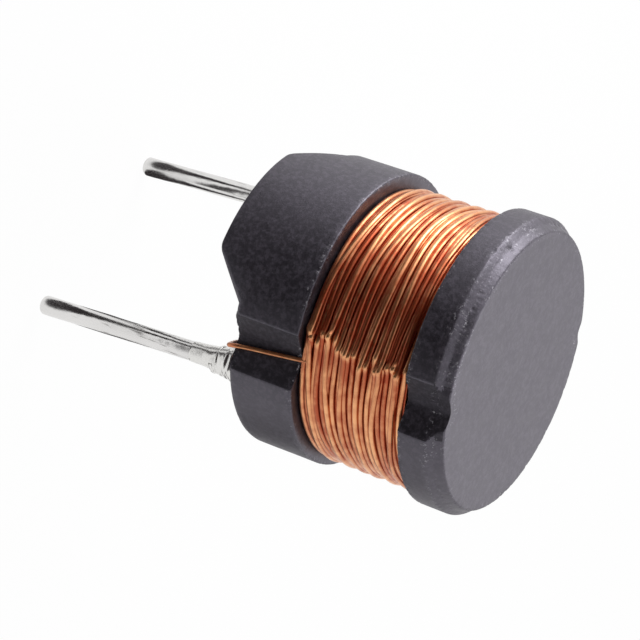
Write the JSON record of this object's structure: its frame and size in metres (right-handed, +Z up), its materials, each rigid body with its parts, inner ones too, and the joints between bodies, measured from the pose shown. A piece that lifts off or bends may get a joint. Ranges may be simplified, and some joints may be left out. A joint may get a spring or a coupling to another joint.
{
  "type": "fixed inductor",
  "caption": "Radial-lead inductor: a dark ferrite drum core wound with fine enamelled copper wire, standing on two soldered tinned lead pins.",
  "frame": {"origin": "on the drum's axis, in the seating plane, which is the underside of the stand-off bar", "axes": "+Z up the drum's axis, away from the leads; the two lead pins stand in line along X, the stand-off bar runs along Y"},
  "size_m": [0.0074, 0.0074, 0.0124],
  "materials": {
    "ferrite": "matt pressed and fired ceramic, lightly ground face",
    "enamelled_copper": "glossy clear enamel over copper",
    "tinned_wire": "tinned, lightly scuffed",
    "solder": "bright solder",
    "adhesive": "dark cured epoxy"
  },
  "bodies": {
    "root": {"drum_core": "ferrite", "winding": "enamelled_copper", "lead_pin_near": "tinned_wire", "lead_pin_far": "tinned_wire", "solder_joint_near": "solder", "solder_joint_far": "solder", "pin_adhesive_near": "adhesive", "pin_adhesive_far": "adhesive"}
  },
  "joints": []
}
